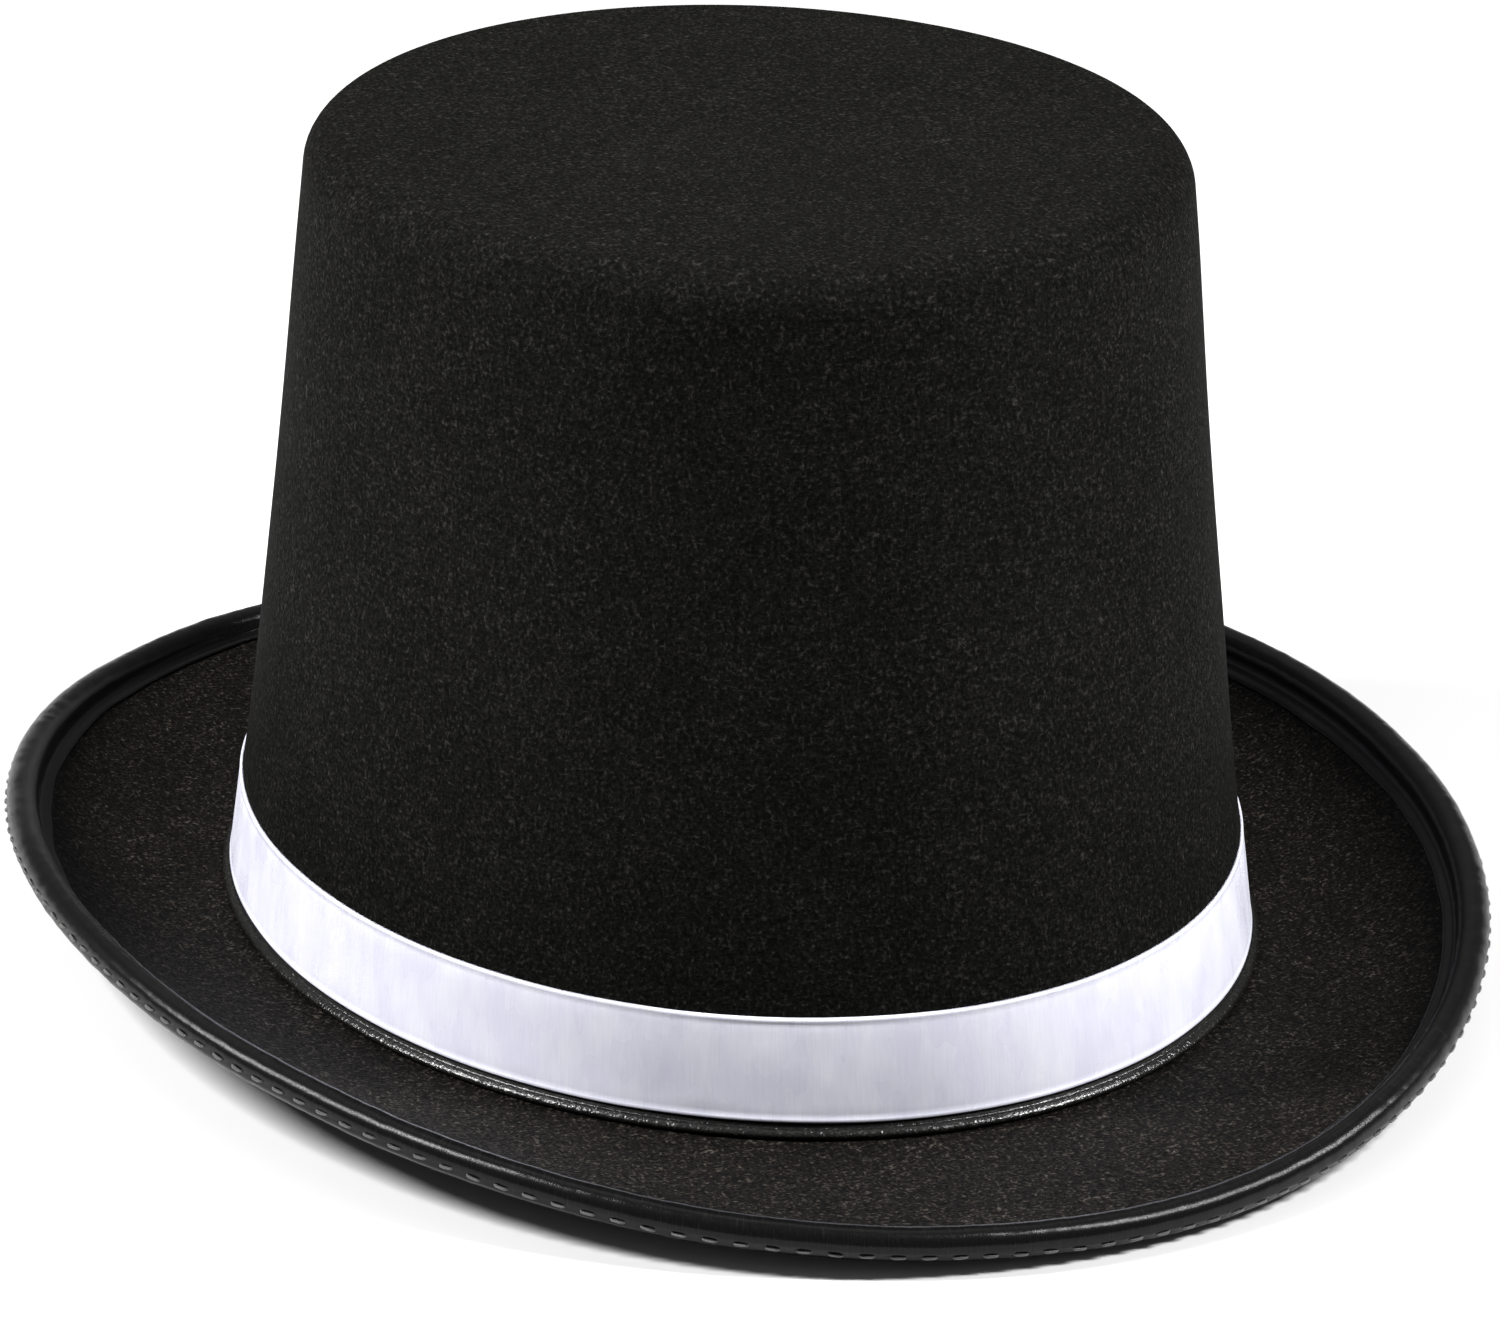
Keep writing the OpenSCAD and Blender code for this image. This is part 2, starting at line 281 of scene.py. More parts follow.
# ---------------------------------------------------------------- material making
class Shader:
    """A small helper that lays out one node material."""

    def __init__(self, name):
        self.material = bpy.data.materials.new(name)
        self.material.use_nodes = True
        self.tree = self.material.node_tree
        self.bsdf = self.tree.nodes["Principled BSDF"]

    def add(self, kind, **values):
        node = self.tree.nodes.new("ShaderNode" + kind)
        for key, value in values.items():
            if hasattr(node, key):
                setattr(node, key, value)
            else:
                node.inputs[key.replace("_", " ")].default_value = value
        return node

    def link(self, a, b):
        self.tree.links.new(a, b)

    def place(self, scale, turn=(0, 0, 0), uv=False):
        """Coordinates in metres, times scale, from the piece's own space or from its UVs."""
        source = self.add("TexCoord")
        mapping = self.add("Mapping")
        mapping.inputs["Scale"].default_value = scale
        mapping.inputs["Rotation"].default_value = turn
        self.link(source.outputs["UV" if uv else "Object"], mapping.inputs["Vector"])
        return mapping.outputs["Vector"]

    def grain(self, vector, scale=1.0, detail=3.0, rough=0.6, bend=0.0):
        node = self.add("TexNoise", Scale=scale, Detail=detail, Roughness=rough, Distortion=bend)
        self.link(vector, node.inputs["Vector"])
        return node.outputs["Fac"]

    def ribs(self, vector, along="X", scale=1.0, bend=0.0):
        node = self.add("TexWave", bands_direction=along, Scale=scale, Distortion=bend, Detail=2.0)
        self.link(vector, node.inputs["Vector"])
        return node.outputs["Fac"]

    def math(self, operation, a, b=0.0):
        node = self.add("Math", operation=operation)
        for socket, value in zip(node.inputs, (a, b)):
            if isinstance(value, (int, float)):
                socket.default_value = value
            else:
                self.link(value, socket)
        return node.outputs[0]

    def remap(self, value, low, high, to_low, to_high):
        node = self.add("MapRange", From_Min=low, From_Max=high, To_Min=to_low, To_Max=to_high)
        self.link(value, node.inputs["Value"])
        return node.outputs["Result"]

    def ramp(self, value, stops):
        node = self.add("ValToRGB")
        elements = node.color_ramp.elements
        while len(elements) < len(stops):
            elements.new(0.5)
        for element, (place, colour) in zip(elements, stops):
            element.position = place
            element.color = (*colour, 1)
        self.link(value, node.inputs["Fac"])
        return node.outputs["Color"]

    def blend(self, share, a, b, mode="MIX"):
        node = self.add("Mix", data_type="RGBA", blend_type=mode)
        colours = [s for s in node.inputs if s.type == "RGBA"]
        for socket, value in ((node.inputs[0], share), (colours[0], a), (colours[1], b)):
            if isinstance(value, (int, float, tuple)):
                socket.default_value = value
            else:
                self.link(value, socket)
        return [s for s in node.outputs if s.type == "RGBA"][0]

    def bump(self, height, distance, strength=1.0, under=None):
        node = self.add("Bump", Distance=distance, Strength=strength)
        self.link(height, node.inputs["Height"])
        if under is not None:
            self.link(under, node.inputs["Normal"])
        return node.outputs["Normal"]

    def tangent(self):
        node = self.add("Tangent", direction_type="UV_MAP", uv_map="UVMap")
        self.link(node.outputs["Tangent"], self.bsdf.inputs["Tangent"])

    def use(self, colour=None, roughness=None, normal=None, **constants):
        """Links colour, roughness and normal. Every other value is set on the shader's own socket."""
        for name, source in (("Base Color", colour), ("Roughness", roughness), ("Normal", normal)):
            if source is not None:
                self.link(source, self.bsdf.inputs[name])
        for name, value in constants.items():
            self.bsdf.inputs[name.replace("_", " ")].default_value = value
        return self.material


def grey(value):
    """A colour with equal parts."""
    return (value, value, value)


def felt_material(name, dark, mid, light, roughness, gloss, contrast, nap, lip=False):
    """Pressed wool: short fibres lying every way and a few pale ones. With lip, the foot is smoother."""
    s = Shader(name)
    patch = s.grain(s.place((40, 40, 40)), detail=2.0, bend=0.6)
    lying = s.grain(s.place((650, 650, 2000), (0.4, 0.2, 0.3)), detail=2.0, bend=0.6)
    standing = s.grain(s.place((2000, 700, 700), (0.2, 0.7, 0.9)), detail=2.0, bend=0.6)
    crossing = s.grain(s.place((700, 2100, 800), (0.9, 0.1, 0.4)), detail=2.0, bend=0.6)
    speck = s.grain(s.place((1500, 1500, 1500)), detail=1.0)
    fibres = s.math("MAXIMUM", s.math("MAXIMUM", lying, standing), crossing)
    weave = s.math("ADD", s.math("MULTIPLY", fibres, 0.6), s.math("MULTIPLY", speck, 0.4))
    tone = s.ramp(weave, [(0.46, dark), (0.59, mid), (0.74, light)])
    shade = s.remap(patch, 0.3, 0.7, 1 - contrast, 1 + contrast)
    cloud = s.add("CombineColor")
    for channel in ("Red", "Green", "Blue"):
        s.link(shade, cloud.inputs[channel])
    colour = s.blend(1.0, tone, cloud.outputs["Color"], "MULTIPLY")
    pressed = roughness
    if lip:
        split = s.add("SeparateXYZ")
        s.link(s.place((1, 1, 1)), split.inputs["Vector"])
        pressed = s.remap(split.outputs["Z"], *LIP_FADE, 0.25, roughness)
        shine = s.remap(split.outputs["Z"], *LIP_FADE, 0.5, gloss)
        s.link(shine, s.bsdf.inputs["Specular IOR Level"])
    uneven = s.math("MULTIPLY", pressed, s.remap(weave, 0.45, 0.7, 1.1, 0.85))
    coarse = s.bump(patch, 0.0008, 0.3)
    fine = s.bump(weave, nap, 1.0, coarse)
    return s.use(colour, uneven, fine, Specular_IOR_Level=gloss)


def ribbon_material():
    """White satin: a smooth float face with fine crosswise threads and corded selvedges."""
    s = Shader("hatband_satin")
    threads = s.ribs(s.place((4200, 4200, 1), uv=True), "X", 1.0, 0.6)
    streaks = s.grain(s.place((160, 2600, 1), uv=True), detail=3.0)
    slub = s.grain(s.place((55, 120, 1), uv=True), detail=2.0)
    tone = s.ramp(streaks, [(0.3, (0.74, 0.74, 0.84)), (0.7, (0.82, 0.82, 0.90))])
    cloud = s.ramp(slub, [(0.35, (0.90, 0.90, 0.95)), (0.65, (1, 1, 1))])
    colour = s.blend(1.0, tone, cloud, "MULTIPLY")
    roughness = s.remap(slub, 0.3, 0.7, 0.22, 0.36)
    normal = s.bump(threads, 0.00003, 0.35, s.bump(slub, 0.0004, 0.25))
    s.tangent()
    return s.use(
        colour, roughness, normal, Anisotropic=0.85, Anisotropic_Rotation=0.25, Specular_IOR_Level=0.9
    )


def binding_material():
    """Black satin tape: its crosswise floats catch the light as a broken, fibrous line."""
    s = Shader("binding_satin")
    floats = s.grain(s.place((3000, 260, 1), uv=True), detail=4.0, rough=0.7)
    ribs = s.ribs(s.place((2600, 2600, 1), uv=True), "X", 1.0, 1.2)
    pucker = s.grain(s.place((190, 60, 1), uv=True), detail=2.0)
    tone = s.ramp(floats, [(0.35, grey(0.002)), (0.6, grey(0.005)), (0.8, grey(0.02))])
    roughness = s.remap(floats, 0.3, 0.7, 0.28, 0.16)
    normal = s.bump(ribs, 0.00002, 0.35, s.bump(floats, 0.00005, 0.35, s.bump(pucker, 0.0004, 0.3)))
    s.tangent()
    return s.use(tone, roughness, normal, Anisotropic=0.3, Specular_IOR_Level=0.15)


def sweatband_material():
    """Black ribbed cotton band."""
    s = Shader("sweatband_cotton")
    ribs = s.ribs(s.place((1100, 1100, 1), uv=True), "X", 1.0, 0.3)
    threads = s.grain(s.place((900, 4200, 1), uv=True), detail=3.0)
    lint = s.grain(s.place((120, 120, 120)), detail=3.0)
    tone = s.ramp(threads, [(0.35, (0.010, 0.010, 0.011)), (0.7, (0.030, 0.029, 0.030))])
    colour = s.blend(s.remap(lint, 0.55, 0.75, 0.0, 0.35), tone, (0.05, 0.048, 0.046, 1))
    roughness = s.remap(threads, 0.3, 0.7, 0.75, 0.9)
    normal = s.bump(ribs, 0.00018, 0.7, s.bump(threads, 0.00006, 0.5))
    return s.use(colour, roughness, normal, Sheen_Weight=0.25, Specular_IOR_Level=0.3)


def thread_material(name, dark, light, roughness):
    """Two-ply sewing thread: the plies wind round it."""
    s = Shader(name)
    plies = s.ribs(s.place((2600, 1500, 1), uv=True), "DIAGONAL", 1.0, 0.2)
    fuzz = s.grain(s.place((5200, 5200, 5200)), detail=2.0)
    colour = s.ramp(s.math("MULTIPLY", plies, fuzz), [(0.1, dark), (0.6, light)])
    rough = s.remap(fuzz, 0.3, 0.7, roughness, roughness + 0.15)
    normal = s.bump(plies, 0.00006, 0.8)
    return s.use(colour, rough, normal, Sheen_Weight=0.2, Specular_IOR_Level=0.5)


def label_material():
    """Blank white taffeta label, woven one over one."""
    s = Shader("label_cloth")
    across = s.ribs(s.place((2400, 2400, 1), uv=True), "X", 1.0, 0.3)
    down = s.ribs(s.place((2400, 2400, 1), uv=True), "Y", 1.0, 0.3)
    weave = s.math("MULTIPLY", across, down)
    slub = s.grain(s.place((260, 900, 1), uv=True), detail=3.0)
    tone = s.ramp(slub, [(0.3, (0.72, 0.72, 0.73)), (0.7, (0.86, 0.86, 0.87))])
    normal = s.bump(weave, 0.00006, 0.6)
    return s.use(tone, s.remap(slub, 0.3, 0.7, 0.55, 0.7), normal, Sheen_Weight=0.15, Specular_IOR_Level=0.4)


def steel_material(name, colour, scale):
    """Drawn steel with fine lengthwise scratches."""
    s = Shader(name)
    scratch = s.grain(s.place(scale), detail=4.0)
    tone = s.ramp(scratch, [(0.3, tuple(c * 0.8 for c in colour)), (0.7, colour)])
    roughness = s.remap(scratch, 0.3, 0.7, 0.28, 0.45)
    return s.use(tone, roughness, s.bump(scratch, 0.00002, 0.4), Metallic=1.0)


def floor_material():
    """Plain matt paper."""
    s = Shader("studio_floor")
    soft = s.grain(s.place((3, 3, 3)), detail=2.0)
    tone = s.ramp(soft, [(0.3, grey(0.64)), (0.7, grey(0.66))])
    return s.use(tone, None, None, Roughness=0.9, Specular_IOR_Level=0.1)


# ---------------------------------------------------------------- camera and light
def towards(azimuth, elevation):
    """Direction from the hat, in degrees round from the front and up from level."""
    a, e = math.radians(azimuth), math.radians(elevation)
    return Vector((math.sin(a) * math.cos(e), -math.cos(a) * math.cos(e), math.sin(e)))


def make_camera():
    """Stands 1.2 m off, 23 degrees to one side and 22 degrees above the hat, with a long lens."""
    distance = 1.2
    roll = math.radians(1.0)
    target = Vector((0.002, 0, 0.0455))
    back = towards(-23.3, 22.1)
    data = bpy.data.cameras.new("camera")
    data.lens = 160.1
    data.clip_end = 50
    camera = bpy.data.objects.new("camera", data)
    bpy.context.scene.collection.objects.link(camera)
    camera.rotation_mode = "QUATERNION"
    camera.location = target + back * distance
    camera.rotation_quaternion = Quaternion(back, roll) @ (-back).to_track_quat("-Z", "Y")
    bpy.context.scene.camera = camera


def make_light(name, azimuth, elevation, distance, size, power, colour=(1, 1, 1)):
    """A soft box that looks at the crown."""
    back = towards(azimuth, elevation)
    data = bpy.data.lights.new(name, "AREA")
    data.shape = "RECTANGLE"
    data.size, data.size_y = size
    data.energy = power
    data.color = colour
    light = bpy.data.objects.new(name, data)
    bpy.context.scene.collection.objects.link(light)
    light.location = Vector((0, 0, TOP_Z / 2)) + back * distance
    light.rotation_mode = "QUATERNION"
    light.rotation_quaternion = (-back).to_track_quat("-Z", "Y")


def make_studio():
    """Two tall soft boxes at the sides, two weak ones behind, a faint even world, and a floor."""
    strip = (0.14, 0.42)
    warm = (1, 0.93, 0.86)
    make_light("key_left", -104, 40, distance=1.2, size=strip, power=28)
    make_light("key_right", 57, 40, distance=1.2, size=strip, power=25)
    make_light("top_back", 165, 72, distance=1.5, size=(1.2, 0.8), power=3)
    make_light("low_back", 165, 30, distance=1.6, size=(1.0, 0.4), power=0.4, colour=warm)
    world = bpy.data.worlds.new("studio")
    bpy.context.scene.world = world
    world.use_nodes = True
    background = world.node_tree.nodes["Background"]
    background.inputs["Color"].default_value = (1, 1, 1, 1)
    background.inputs["Strength"].default_value = 0.15
    bpy.context.scene.view_settings.view_transform = "Standard"
    half_size = 6.0
    steps = np.linspace(-half_size, half_size, 5)
    points = np.array([[(x, y, 0.0) for x in steps] for y in steps[::-1]])
    floor = grid_piece("studio_floor", points, ring=False)
    floor.data.materials.append(floor_material())


# ---------------------------------------------------------------- the pieces
def make_crown():
    """The flat tip, its rounded edge, the wall, the lip at its foot, and the same back up inside."""
    a = directions(288)
    flat_w, flat_d = TIP_W - TIP_EDGE, TIP_D - TIP_EDGE
    shares = (0.02, 0.1, 0.2, 0.3, 0.4, 0.5, 0.6, 0.7, 0.78, 0.85, 0.9, 0.95, 0.985)
    tip = np.array([
        np.stack([share * flat_w * np.cos(a), share * flat_d * np.sin(a), TOP_Z + 0 * a], -1)
        for share in shares
    ])
    edge_z = TOP_Z - TIP_EDGE
    bends = np.radians(np.linspace(90, 0, 13))
    lip = np.radians(np.linspace(80, -90, 12))
    base = FOOT_Z + LIP_HEIGHT
    walls = np.linspace(edge_z, base, 60)[1:-1]
    # Two rows lead from the wall out to the lip
    neck_insets = [-0.0001, -0.0003]
    neck_heights = [base + 0.0004, base + 0.0001]
    lip_heights = FOOT_Z + LIP_HEIGHT * (1 + np.sin(lip)) / 2
    insets = np.concatenate([
        TIP_EDGE * (1 - np.cos(bends)), 0 * walls, neck_insets, -LIP_OUT * np.cos(lip),
    ])
    heights = np.concatenate([edge_z + TIP_EDGE * np.sin(bends), walls, neck_heights, lip_heights])
    inner = TIP_EDGE - FELT
    rises = np.radians(np.linspace(0, 90, 8))
    inside = np.linspace(FOOT_Z, edge_z, 30)[:-1]
    insets = np.concatenate([insets, FELT + 0 * inside, FELT + inner * (1 - np.cos(rises))])
    heights = np.concatenate([heights, inside, edge_z + inner * np.sin(rises)])
    shell = wall_at(insets[:, None], heights[:, None], a[None])
    ceiling = tip[::-1].copy()
    ceiling[..., 2] -= FELT
    return grid_piece("felt_crown", settle(np.concatenate([tip, shell, ceiling])), fans=True)


def turn_points(radius, start, stop, count):
    """Profile entries on an arc about the wire: share, back, along, up."""
    return [
        (1, 0, radius * math.cos(d), TURN_LIFT + radius * math.sin(d))
        for d in np.radians(np.linspace(start, stop, count))
    ]


def profile_grid(profile, a):
    """Points of the brim's surface at each profile entry (share, back, along, up), all round."""
    p = np.array(profile, float)[:, :, None]
    return brim_at(p[:, 0], p[:, 1], p[:, 2], p[:, 3], a[None] + 0 * p[:, 0])


def make_brim():
    """The brim's felt, its edge turned over the wire, and the collar that stands up inside the crown."""
    a = directions(360)
    half = FELT / 2
    first, last, flat_rows = 0.03, 0.84, 30
    throat = math.sqrt(WIRE_CHANNEL**2 - (TURN_RADIUS - FELT) ** 2)
    flat = [(s, 0, 0, half) for s in np.linspace(first, last, flat_rows)]
    near = [(1, back, 0, half) for back in (TAPE_FLAT, 0.0043, TAPE_STEP, 0.0020, throat)]
    under = [(1, TAPE_FLAT, 0, -half)] + [(s, 0, 0, -half) for s in np.linspace(last, first, flat_rows)]
    turn = turn_points(WIRE_CHANNEL, -120, TURN_END, 9) + turn_points(TURN_RADIUS, TURN_END, -90, 17)
    body = profile_grid(flat + near + turn + under, a)
    inner = 2 * FELT + SEAM_GAP
    corner = np.radians(np.linspace(90, 0, 5))
    low = wall_at(
        (inner - CORNER * (1 - np.cos(corner)))[:, None], (CORNER * (1 - np.sin(corner)))[:, None], a[None]
    )
    up = np.linspace(CORNER, collar_top, 5)[1:]
    rise = wall_at((inner + 0 * up)[:, None], up[:, None], a[None])
    down = np.linspace(collar_top, FELT, 5)
    drop = wall_at((COLLAR_INSET + 0 * down)[:, None], down[:, None], a[None])
    points = settle(np.concatenate([drop, body, low, rise]))
    return grid_piece("felt_brim", points, closed=True)


def make_binding():
    """The tape: from its upper edge over the roll to its lower edge, and back along the felt."""
    a = directions(1080)
    half = FELT / 2 + SEAM_GAP
    inner = TURN_RADIUS + SEAM_GAP
    outer = inner + TAPE
    top = half + TAPE
    rim = 0.0001
    selvedge = 0.0006
    lift = 0.0003
    profile = [(1, TAPE_FLAT - rim, 0, half + rim), (1, TAPE_FLAT, 0, half + TAPE * 0.5)]
    profile += [(1, TAPE_FLAT - rim, 0, top), (1, TAPE_FLAT - selvedge, 0, top + rim)]
    profile += [(1, 0.0042, 0, top), (1, TAPE_STEP + TAPE, 0, top), (1, TAPE_STEP, 0, top + lift)]
    roll = slice(len(profile), len(profile) + OUTER_ROWS)
    profile += turn_points(outer, OUTER_START, -90, OUTER_ROWS)
    profile += [(1, 0.002, 0, -top), (1, 0.004, 0, -top), (1, TAPE_FLAT - rim, 0, -top)]
    profile += [(1, TAPE_FLAT, 0, -half - TAPE * 0.5), (1, TAPE_FLAT - rim, 0, -half)]
    profile += turn_points(inner, -90, TURN_END, 17) + [(1, TAPE_STEP, 0, half)]
    points = profile_grid(profile, a)
    centre = profile_grid([(1, 0, 0, TURN_LIFT)], a)
    # The tape puckers a little over the roll, and the stitches draw it in
    outward = points[roll] - centre
    outward /= np.linalg.norm(outward, axis=-1)[..., None]
    stretched = points[roll] * np.array([1, 1, 0.35])
    pucker = 0.00012 * noise_at(stretched, size=0.004, seed=6)
    pucker += 0.00010 * noise_at(points[roll], size=0.011, seed=7)
    turns = np.linspace(OUTER_START, -90, OUTER_ROWS)[:, None]
    count = stitch_count(BRIM_W, BRIM_D, BINDING_PITCH)
    drawn = 0.5 + 0.5 * np.cos(count * (a + 0.5 * (BRIM_D - BRIM_W) / (BRIM_D + BRIM_W) * np.sin(2 * a)))
    spread = 12
    near = np.exp(-(((turns - BINDING_STITCH_ANGLE) / spread) ** 2))
    sunk = near * (0.00006 + 0.00016 * drawn[None])
    points[roll] += outward * (np.abs(pucker) * (1 - near) - sunk)[..., None]
    # Its upper edge wanders
    wander = 0.0004 * noise_at(centre[0], size=0.013, seed=8)
    wander = wander + 0.0004 * noise_at(centre[0], size=0.05, seed=9)
    span = centre[0] * FLATTEN
    span /= np.linalg.norm(span, axis=-1)[..., None]
    for row, share in enumerate((1, 1, 1, 1, 0.5)):
        points[row] += span * (wander * share)[..., None]
    return grid_piece("satin_binding", settle(points), closed=True)


def make_hatband():
    """The ribbon, from its end at the back once round, to its other end lapped over the first."""
    step = 2 * math.pi / 360
    lap = math.radians(10)
    a = np.arange(0, 2 * math.pi + lap + step / 2, step) + BACK
    climb = SEAM_GAP + (BAND_T + 2 * SEAM_GAP) * ease(a - BACK, 2 * math.pi - lap, 2 * math.pi - lap / 2)
    low, high = band_low.z, band_high.z
    # Height above the lower edge and share of the thickness: a corded selvedge, the plain face, a selvedge
    cord = 0.0007
    border = 0.0016
    rows = [(0, 0), (0.0001, 0.9), (0.0003, 1.25), (cord, 1.15), (cord * 1.3, 0.9)]
    selvedge_rows = len(rows)
    face_rows = 16
    rows += [(x, 1.0) for x in np.linspace(border, high - low - border, face_rows)]
    rows += [(high - low - x, t) for x, t in reversed(rows[:selvedge_rows])]
    edge = 0.00018 * noise_at(wall_at(0.0, np.full_like(a, 0.01), a), size=0.02, seed=11)
    sections = []
    for height, thick in rows:
        share = height / (high - low)
        drift = edge * (1 - 2 * share) * 0.6
        z = low + height + drift
        sections.append(wall_at(-(climb + BAND_T * thick), z, a))
    rim = 0.0002
    for z in (high - rim, low + rim):
        sections.append(wall_at(-climb, np.full_like(a, z), a))
    points = settle(np.array(sections)).transpose(1, 0, 2)
    bulge = 0.00012 * noise_at(points, size=0.012, seed=12)
    middle = slice(selvedge_rows + 1, selvedge_rows + face_rows - 1)
    out = points[:, middle] * FLATTEN
    out /= np.linalg.norm(out, axis=-1)[..., None]
    points[:, middle] += out * np.abs(bulge[:, middle])[..., None]
    return grid_piece("satin_hatband", points, fans=True)


def make_sweatband():
    """The band inside the opening, a little thicker where its ends lap at the back."""
    a = directions(360)
    low, high = sweat_low.z, sweat_high.z
    rounding = 0.0003
    up = np.linspace(low + rounding, high - rounding, 14)
    off_back = np.abs(((a - BACK + math.pi) % (2 * math.pi)) - math.pi)
    lap_thickness = 0.0004
    lap = lap_thickness * ease(off_back, math.radians(9), math.radians(8))
    inset = SWEAT_INSET + SWEAT_T
    inner = []
    for z in up:
        uneven = 0.0001 * noise_at(wall_at(0.0, 0 * a + z, a), size=0.02, seed=13)
        inner.append(wall_at(inset + lap + uneven, 0 * a + z, a))
    rim = [wall_at(SWEAT_INSET + SWEAT_T / 2 + lap / 2, 0 * a + high, a)]
    outer = [wall_at(SWEAT_INSET + 0 * a, 0 * a + z, a) for z in up[::-1]]
    base = [wall_at(SWEAT_INSET + SWEAT_T / 2 + lap / 2, 0 * a + low, a)]
    return grid_piece("cotton_sweatband", np.array(inner + rim + outer + base), closed=True)


def even_direction(turn, half_w, half_d):
    """Moves a direction so that equal turns make nearly equal steps along an oval."""
    return turn - 0.5 * (half_d - half_w) / (half_d + half_w) * math.sin(2 * turn)


def stitch_count(half_w, half_d, pitch):
    """How many stitches go round an oval at about that pitch, as a multiple of four."""
    length = 2 * math.pi * math.sqrt((half_w**2 + half_d**2) / 2)
    return 4 * round(length / pitch / 4)


def add_stitch(vertices, faces, corners, middle, along, out, length, radius):
    """One thread that comes up out of the cloth, lies on it and dives back in."""
    side = np.cross(along, out)
    rings, sides = 13, 8
    rise_share, dive_share = 1.9, 1.3
    start = len(vertices)
    for i in range(rings):
        t = -1 + 2 * i / (rings - 1)
        rise = 1 - abs(t) ** 5
        centre = middle + along * (t * length / 2) + out * (radius * (rise_share * rise - dive_share))
        thick = radius * (0.72 + 0.28 * math.sqrt(max(0.0, 1 - t * t)))
        for k in range(sides):
            d = 2 * math.pi * k / sides
            vertices.append((centre + thick * (out * math.cos(d) + side * math.sin(d))).tolist())
    for i in range(rings - 1):
        for k in range(sides):
            n = (k + 1) % sides
            here, there = start + i * sides, start + (i + 1) * sides
            faces.append((here + k, here + n, there + n, there + k))
            u0, u1 = i * length / rings, (i + 1) * length / rings
            v0, v1 = k * radius, (k + 1) * radius
            corners += [(u0, v0), (u0, v1), (u1, v1), (u1, v0)]
    for row, order in ((0, range(sides - 1, -1, -1)), (rings - 1, range(sides))):
        faces.append(tuple(start + row * sides + k for k in order))
        corners += [(0, 0)] * sides


def stitch_piece(name, stitches, radius=THREAD_R):
    """A row of stitches: each is (middle, direction along, direction out, length)."""
    vertices, faces, corners = [], [], []
    for middle, along, out, length in stitches:
        along = along / np.linalg.norm(along)
        out = out - along * (out @ along)
        add_stitch(vertices, faces, corners, middle, along, out / np.linalg.norm(out), length, radius)
    return mesh_piece(name, vertices, faces, corners)


def make_binding_stitches():
    """Stitches low on the outside of the roll, each a little out of line and sunk into the tape."""
    count = stitch_count(BRIM_W, BRIM_D, BINDING_PITCH)
    reach_out = TURN_RADIUS + SEAM_GAP + TAPE
    d = math.radians(BINDING_STITCH_ANGLE)
    on_roll = (reach_out * math.cos(d), TURN_LIFT + reach_out * math.sin(d))
    sunk = 0.00008
    stitches = []
    for i in range(count):
        a = even_direction(2 * math.pi * i / count, BRIM_W, BRIM_D)
        near = np.array([a - STITCH_TURN, a, a + STITCH_TURN])
        row = settle(brim_at(1 + 0 * near, 0 * near, *on_roll, near))
        centre = settle(brim_at(1 + 0 * near, 0 * near, 0.0, TURN_LIFT, near))
        out = row[1] - centre[1]
        out /= np.linalg.norm(out)
        wobble = 0.00025 * noise.noise(Vector((i * 1.7, 0.3, 0.9)))
        across = np.cross(row[2] - row[0], out)
        across /= np.linalg.norm(across)
        middle = row[1] - out * sunk + across * wobble
        along = row[2] - row[0] + across * wobble
        stitches.append((middle, along, out, STITCH_LENGTH))
    return stitch_piece("binding_thread", stitches, radius=0.00026)


def make_sweatband_stitches():
    """The row that sews the sweatband in."""
    inset = SWEAT_INSET + SWEAT_T
    count = stitch_count(FOOT_W - inset, FOOT_D - inset, SWEAT_PITCH)
    low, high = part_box("sweatband_stitches")
    z = (low.z + high.z) / 2
    stitches = []
    for i in range(count):
        a = even_direction(2 * math.pi * i / count, FOOT_W - inset, FOOT_D - inset)
        row = wall_at(inset, np.array([z, z, z]), np.array([a - STITCH_TURN, a, a + STITCH_TURN]))
        stitches.append((row[1], row[2] - row[0], -row[1] * FLATTEN, STITCH_LENGTH))
    return stitch_piece("sweatband_thread", stitches, radius=0.00024)


def make_hatband_stitches():
    """Upright tacks, one above the other, through the ribbon's lap."""
    low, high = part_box("hatband_stitches")
    a = math.atan2((low.y + high.y) / 2 / FOOT_D, (low.x + high.x) / 2 / FOOT_W)
    tack_length = 0.0018
    count = 4
    pitch = (high.z - low.z - STITCH_LENGTH) / (count - 1)
    stitches = []
    for i in range(count):
        z = low.z + STITCH_LENGTH / 2 + pitch * i
        middle = settle(wall_at(-(2 * BAND_T + 4 * SEAM_GAP), np.array([z]), np.array([a])))[0]
        stitches.append((middle, np.array([0.0, 0.0, 1.0]), middle * FLATTEN, tack_length))
    return stitch_piece("hatband_thread", stitches)


def label_face(side):
    """Points of the label's front face (side -1) or rear face (side 1), row by row down from the hem."""
    low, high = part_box("care_label")
    width = high.x - low.x
    below_stitches = 0.0004
    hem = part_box("label_stitches")[0].z - below_stitches
    skin = 0.00028
    across = np.linspace(-width / 2, width / 2, 41)
    rows = []
    for z in np.linspace(hem, low.z, 31):
        share = (hem - z) / (hem - low.z)
        curl = 0.0007 * share**2 * np.cos(across / width * math.pi)
        wave = 0.00025 * np.sin(across * 260 + z * 90) * share
        fold = 0.00018 * (1 - ease(np.full_like(across, hem - z), 0.0028, 0.0034))
        y = (low.y + high.y) / 2 - curl - wave + side * (skin / 2 + fold)
        rows.append(np.stack([across, y, np.full_like(across, z)], -1))
    return np.array(rows)


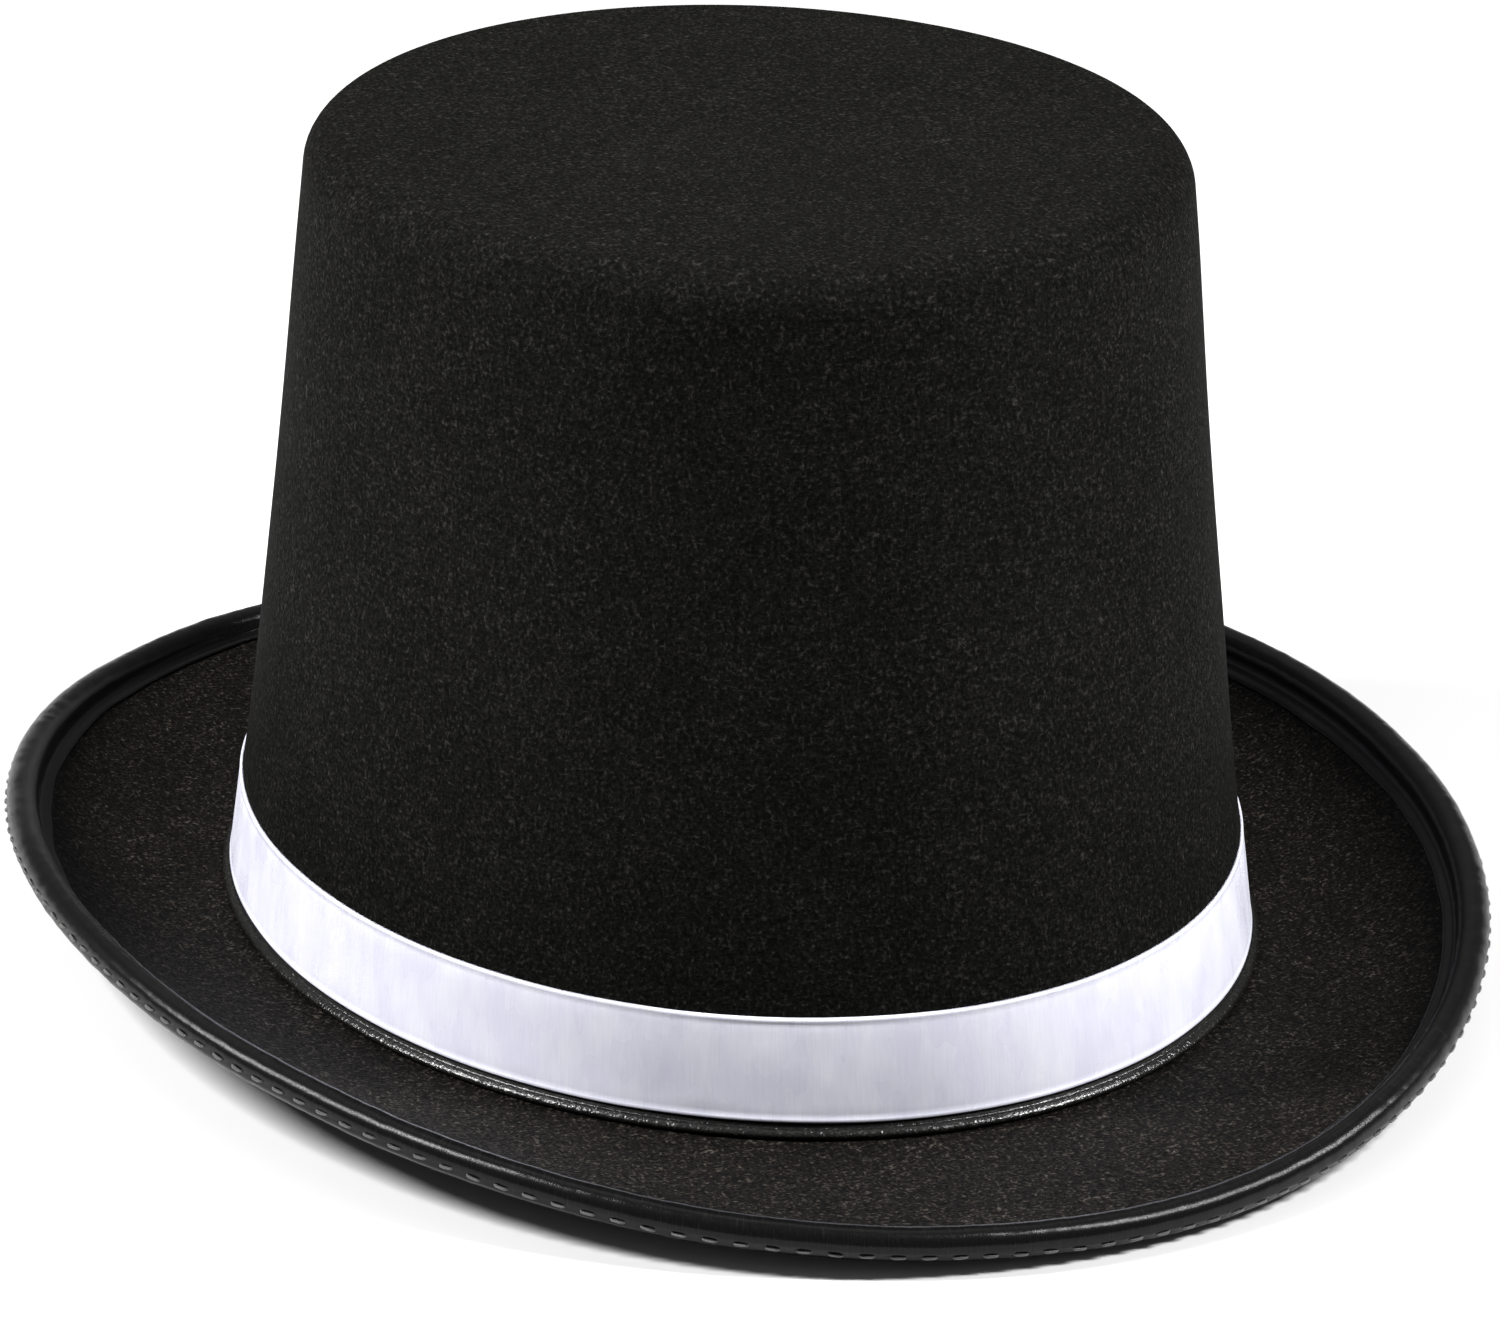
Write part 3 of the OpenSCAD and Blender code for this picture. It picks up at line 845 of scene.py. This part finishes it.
def make_label():
    """The label as one closed thin sheet: front and rear faces joined round all four edges."""
    front, rear = label_face(-1), label_face(1)
    points = np.concatenate([front, rear[:, ::-1]], axis=1)
    rows, cols = points.shape[:2]
    faces = [quad(i, j, rows, cols) for i in range(rows - 1) for j in range(cols)]
    for row, flip in ((0, False), (rows - 1, True)):
        for j in range(cols // 2 - 1):
            a, b = row * cols + j, row * cols + j + 1
            c, d = row * cols + cols - 2 - j, row * cols + cols - 1 - j
            faces.append((a, d, c, b) if flip else (a, b, c, d))
    vertices = points.reshape(-1, 3).tolist()
    corners = [(vertices[k][0], vertices[k][2]) for face in faces for k in face]
    return mesh_piece("woven_label", vertices, faces, corners)


def make_label_stitches():
    """The stitches that sew the label on by its top edge."""
    low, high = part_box("label_stitches")
    count = 6
    pitch = (high.x - low.x - STITCH_LENGTH) / (count - 1)
    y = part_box("care_label")[0].y
    off_cloth, below_edge = 0.00005, 0.0012
    stitches = []
    for i in range(count):
        x = low.x + STITCH_LENGTH / 2 + pitch * i
        middle = np.array([x, y - off_cloth, low.z + THREAD_R - below_edge])
        stitches.append((middle, np.array([1.0, 0.0, 0.0]), np.array([0.0, -1.0, 0.0]), STITCH_LENGTH))
    return stitch_piece("label_thread", stitches)


# ---------------------------------------------------------------- the scene
make_camera()
make_studio()

crown_felt = felt_material(
    "crown_felt",
    dark=(0.0024, 0.0024, 0.0022), mid=(0.0064, 0.0062, 0.0058), light=(0.029, 0.028, 0.025),
    roughness=0.8, gloss=0.02, contrast=0.12, nap=0.0003, lip=True,
)
brim_felt = felt_material(
    "brim_felt",
    dark=(0.0010, 0.0009, 0.0008), mid=(0.0066, 0.0057, 0.0049), light=(0.062, 0.054, 0.046),
    roughness=0.6, gloss=0.05, contrast=0.25, nap=0.0004,
)
finish_piece(make_crown(), "hat", "crown_felt", crown_felt, "crown")
finish_piece(make_brim(), "hat", "brim_felt", brim_felt, "brim")
binding = finish_piece(make_binding(), "hat", "binding_satin", binding_material(), "brim_binding")
hatband = finish_piece(make_hatband(), "hat", "hatband_satin", ribbon_material(), "hatband")
sweatband = finish_piece(make_sweatband(), "hat", "sweatband_cotton", sweatband_material(), "sweatband")
dark_thread = thread_material("dark_thread", grey(0.02), (0.13, 0.13, 0.125), 0.3)
light_thread = thread_material("light_thread", (0.55, 0.55, 0.6), (0.85, 0.85, 0.9), 0.45)
sweatband_thread = thread_material("sweatband_thread", grey(0.02), (0.09, 0.085, 0.085), 0.45)
label_thread = thread_material("label_thread", (0.5, 0.5, 0.52), (0.8, 0.8, 0.82), 0.5)
finish_piece(make_binding_stitches(), "hat", "dark_thread", dark_thread, "binding_stitches")
finish_piece(make_hatband_stitches(), "hat", "light_thread", light_thread, "hatband_stitches")
finish_piece(make_sweatband_stitches(), "hat", "sweatband_thread", sweatband_thread, "sweatband_stitches")
finish_piece(make_label_stitches(), "hat", "label_thread", label_thread, "label_stitches")
label = finish_piece(make_label(), "label", "label_cloth", label_material(), "care_label")

# The wire and its joiner keep their CAD meshes and get steel
for node, material in (
    ("brim_wire", steel_material("wire_steel", (0.52, 0.53, 0.55), (900, 900, 9000))),
    ("wire_joiner", steel_material("joiner_steel", (0.62, 0.63, 0.65), (9000, 900, 900))),
):
    NODES[node].data.materials.clear()
    NODES[node].data.materials.append(material)
